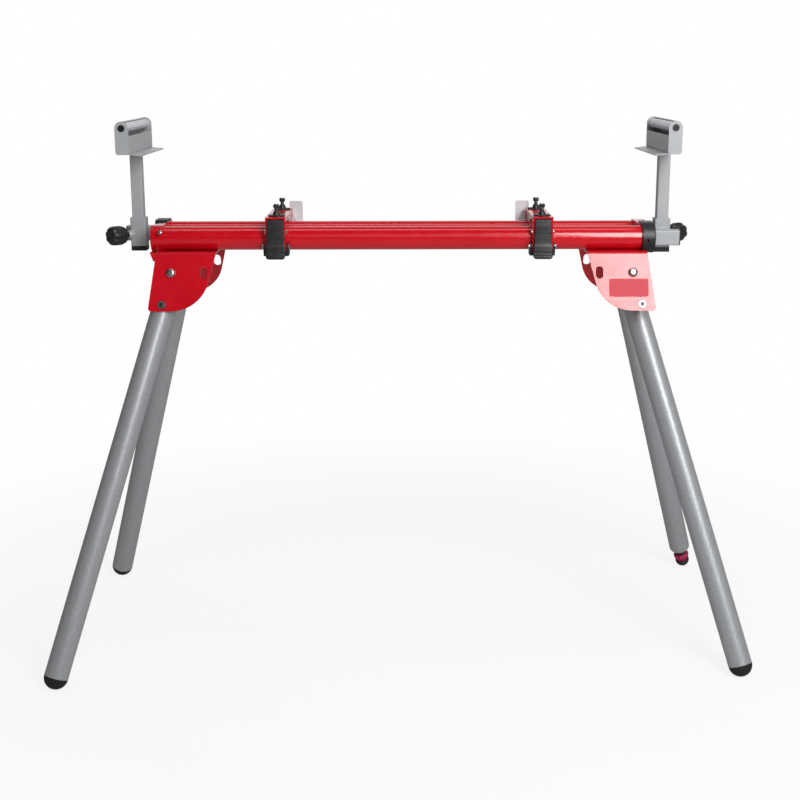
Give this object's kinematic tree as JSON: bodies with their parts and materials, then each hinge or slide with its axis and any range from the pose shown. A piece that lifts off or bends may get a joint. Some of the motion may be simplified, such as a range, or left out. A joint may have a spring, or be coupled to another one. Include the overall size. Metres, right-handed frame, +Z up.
{
  "type": "mitre saw stand",
  "caption": "Folding stand for a mitre saw: twin beam tubes on splayed folding legs, extension arms with roller heads at the ends and quick-release saw brackets on top.",
  "frame": {"origin": "on the floor, below the middle of the beam", "axes": "+X along the beam, +Y to the rear, +Z up"},
  "size_m": [1.3042, 0.6588, 1.0108],
  "materials": {
    "red_paint": "gloss",
    "grey_paint": "satin",
    "leg_paint": "satin",
    "zinc_steel": "satin",
    "bright_steel": "satin",
    "black_plastic": "matte",
    "red_plastic": "matte",
    "foot_rubber": "matte"
  },
  "bodies": {
    "frame": {"tube_front": "red_paint", "tube_rear": "red_paint", "collar_left": "red_paint", "collar_right": "red_paint", "end_cap_left": "black_plastic", "end_cap_right": "black_plastic", "saddle_left": "red_paint", "saddle_right": "red_paint", "cheek_front_left": "red_paint", "cheek_rear_left": "red_paint", "cheek_front_right": "red_paint", "cheek_rear_right": "red_paint", "pivot_bolts": "zinc_steel", "pivot_nuts": "zinc_steel", "pivot_spacers": "zinc_steel", "lock_bushes": "zinc_steel"},
    "leg_front_left": {"leg_front_left": "leg_paint", "foot_cap_front_left": "foot_rubber"},
    "lock_button_front_left": {"lock_button_front_left": "zinc_steel"},
    "leg_rear_left": {"leg_rear_left": "leg_paint", "foot_cap_rear_left": "foot_rubber"},
    "lock_button_rear_left": {"lock_button_rear_left": "zinc_steel"},
    "leg_front_right": {"leg_front_right": "leg_paint", "foot_cap_front_right": "foot_rubber"},
    "lock_button_front_right": {"lock_button_front_right": "zinc_steel"},
    "leg_rear_right": {"leg_rear_right": "leg_paint", "foot_insert": "black_plastic"},
    "lock_button_rear_right": {"lock_button_rear_right": "zinc_steel"},
    "adjustable_foot": {"foot_screw": "black_plastic", "foot_ring": "red_plastic"},
    "arm_right": {"arm_bar_right": "grey_paint", "bar_plugs_right": "black_plastic", "post_sleeve_right": "grey_paint"},
    "clamp_knob_right": {"clamp_knob_right": "black_plastic"},
    "post_right": {"post_right": "grey_paint", "roller_head_right": "grey_paint", "roller_axle_right": "zinc_steel"},
    "roller_right": {"roller_right": "bright_steel"},
    "arm_left": {"arm_bar_left": "grey_paint", "bar_plugs_left": "black_plastic", "post_sleeve_left": "grey_paint"},
    "clamp_knob_left": {"clamp_knob_left": "black_plastic"},
    "post_left": {"post_left": "grey_paint", "roller_head_left": "grey_paint", "roller_axle_left": "zinc_steel"},
    "roller_left": {"roller_left": "bright_steel"},
    "bracket_left": {"bracket_channel_left": "red_paint", "bracket_pins_left": "zinc_steel", "upright_stop_left": "grey_paint"},
    "lever_left": {"bracket_lever_left": "black_plastic"},
    "jaw_left": {"bracket_jaw_left": "black_plastic"},
    "saw_bolt_front_left": {"saw_bolt_front_left": "black_plastic"},
    "saw_bolt_rear_left": {"saw_bolt_rear_left": "black_plastic"},
    "bracket_right": {"bracket_channel_right": "red_paint", "bracket_pins_right": "zinc_steel", "upright_stop_right": "grey_paint"},
    "lever_right": {"bracket_lever_right": "black_plastic"},
    "jaw_right": {"bracket_jaw_right": "black_plastic"},
    "saw_bolt_front_right": {"saw_bolt_front_right": "black_plastic"},
    "saw_bolt_rear_right": {"saw_bolt_rear_right": "black_plastic"}
  },
  "joints": [
    {"name": "leg_fold_front_left", "type": "hinge", "parent": "frame", "child": "leg_front_left", "pos_m": [-0.4305, -0.068, 0.724], "axis": [0, -0.9455, 0.3256], "range_deg": [0, 105.2]},
    {"name": "lock_press_front_left", "type": "slide", "parent": "frame", "child": "lock_button_front_left", "axis": [0, 0.9455, -0.3256], "range_m": [0, 0.0035], "stiffness_N_per_m": 400, "springref_m": -0.001},
    {"name": "leg_fold_rear_left", "type": "hinge", "parent": "frame", "child": "leg_rear_left", "pos_m": [-0.4305, 0.02507, 0.70922], "axis": [0, -0.9455, -0.3256], "range_deg": [0, 105.2]},
    {"name": "lock_press_rear_left", "type": "slide", "parent": "frame", "child": "lock_button_rear_left", "axis": [0, -0.9455, -0.3256], "range_m": [0, 0.0035], "stiffness_N_per_m": 400, "springref_m": -0.001},
    {"name": "leg_fold_front_right", "type": "hinge", "parent": "frame", "child": "leg_front_right", "pos_m": [0.4305, -0.02507, 0.70922], "axis": [0, 0.9455, -0.3256], "range_deg": [0, 105.2]},
    {"name": "lock_press_front_right", "type": "slide", "parent": "frame", "child": "lock_button_front_right", "axis": [0, 0.9455, -0.3256], "range_m": [0, 0.0035], "stiffness_N_per_m": 400, "springref_m": -0.001},
    {"name": "leg_fold_rear_right", "type": "hinge", "parent": "frame", "child": "leg_rear_right", "pos_m": [0.4305, 0.068, 0.724], "axis": [0, 0.9455, 0.3256], "range_deg": [0, 105.2]},
    {"name": "lock_press_rear_right", "type": "slide", "parent": "frame", "child": "lock_button_rear_right", "axis": [0, -0.9455, -0.3256], "range_m": [0, 0.0035], "stiffness_N_per_m": 400, "springref_m": -0.001},
    {"name": "foot_screw_out", "type": "slide", "parent": "leg_rear_right", "child": "adjustable_foot", "axis": [0.2622, 0.3142, -0.9124], "range_m": [0, 0.015]},
    {"name": "arm_extend_right", "type": "slide", "parent": "frame", "child": "arm_right", "axis": [1, 0, 0], "range_m": [0, 0.4]},
    {"name": "post_raise_right", "type": "slide", "parent": "arm_right", "child": "post_right", "axis": [0, 0, 1], "range_m": [-0.09, 0.02]},
    {"name": "knob_turn_right", "type": "hinge", "parent": "arm_right", "child": "clamp_knob_right", "pos_m": [0.494, -0.01625, 0.794], "axis": [0.7071, 0.7071, 0], "continuous": true},
    {"name": "roller_spin_right", "type": "hinge", "parent": "post_right", "child": "roller_right", "pos_m": [0.494, -0.005, 0.9985], "axis": [0, 1, 0], "continuous": true},
    {"name": "arm_extend_left", "type": "slide", "parent": "frame", "child": "arm_left", "axis": [-1, 0, 0], "range_m": [-0.012, 0.388]},
    {"name": "post_raise_left", "type": "slide", "parent": "arm_left", "child": "post_left", "axis": [0, 0, 1], "range_m": [-0.09, 0.02]},
    {"name": "knob_turn_left", "type": "hinge", "parent": "arm_left", "child": "clamp_knob_left", "pos_m": [-0.506, 0.01625, 0.794], "axis": [-0.7071, -0.7071, 0], "continuous": true},
    {"name": "roller_spin_left", "type": "hinge", "parent": "post_left", "child": "roller_left", "pos_m": [-0.506, 0.005, 0.9985], "axis": [0, 1, 0], "continuous": true},
    {"name": "bracket_slide_left", "type": "slide", "parent": "frame", "child": "bracket_left", "axis": [1, 0, 0], "range_m": [-0.065, 0.175]},
    {"name": "lever_open_left", "type": "hinge", "parent": "bracket_left", "child": "lever_left", "pos_m": [-0.235, -0.073, 0.806], "axis": [-1, 0, 0], "range_deg": [0, 60]},
    {"name": "jaw_open_left", "type": "hinge", "parent": "bracket_left", "child": "jaw_left", "pos_m": [-0.235, -0.072, 0.779], "axis": [-1, 0, 0], "range_deg": [0, 20]},
    {"name": "saw_bolt_turn_front_left", "type": "hinge", "parent": "bracket_left", "child": "saw_bolt_front_left", "pos_m": [-0.235, -0.05, 0.834], "axis": [0, 0, 1], "continuous": true},
    {"name": "saw_bolt_turn_rear_left", "type": "hinge", "parent": "bracket_left", "child": "saw_bolt_rear_left", "pos_m": [-0.235, 0.074, 0.834], "axis": [0, 0, 1], "continuous": true},
    {"name": "bracket_slide_right", "type": "slide", "parent": "frame", "child": "bracket_right", "axis": [1, 0, 0], "range_m": [-0.203, 0.037]},
    {"name": "lever_open_right", "type": "hinge", "parent": "bracket_right", "child": "lever_right", "pos_m": [0.263, -0.073, 0.806], "axis": [-1, 0, 0], "range_deg": [0, 60]},
    {"name": "jaw_open_right", "type": "hinge", "parent": "bracket_right", "child": "jaw_right", "pos_m": [0.263, -0.072, 0.779], "axis": [-1, 0, 0], "range_deg": [0, 20]},
    {"name": "saw_bolt_turn_front_right", "type": "hinge", "parent": "bracket_right", "child": "saw_bolt_front_right", "pos_m": [0.263, -0.05, 0.834], "axis": [0, 0, 1], "continuous": true},
    {"name": "saw_bolt_turn_rear_right", "type": "hinge", "parent": "bracket_right", "child": "saw_bolt_rear_right", "pos_m": [0.263, 0.074, 0.834], "axis": [0, 0, 1], "continuous": true}
  ],
  "couplings": [
    {"joint": "jaw_open_left", "follows": "lever_open_left", "ratio": 0.33333},
    {"joint": "jaw_open_right", "follows": "lever_open_right", "ratio": 0.33333}
  ]
}
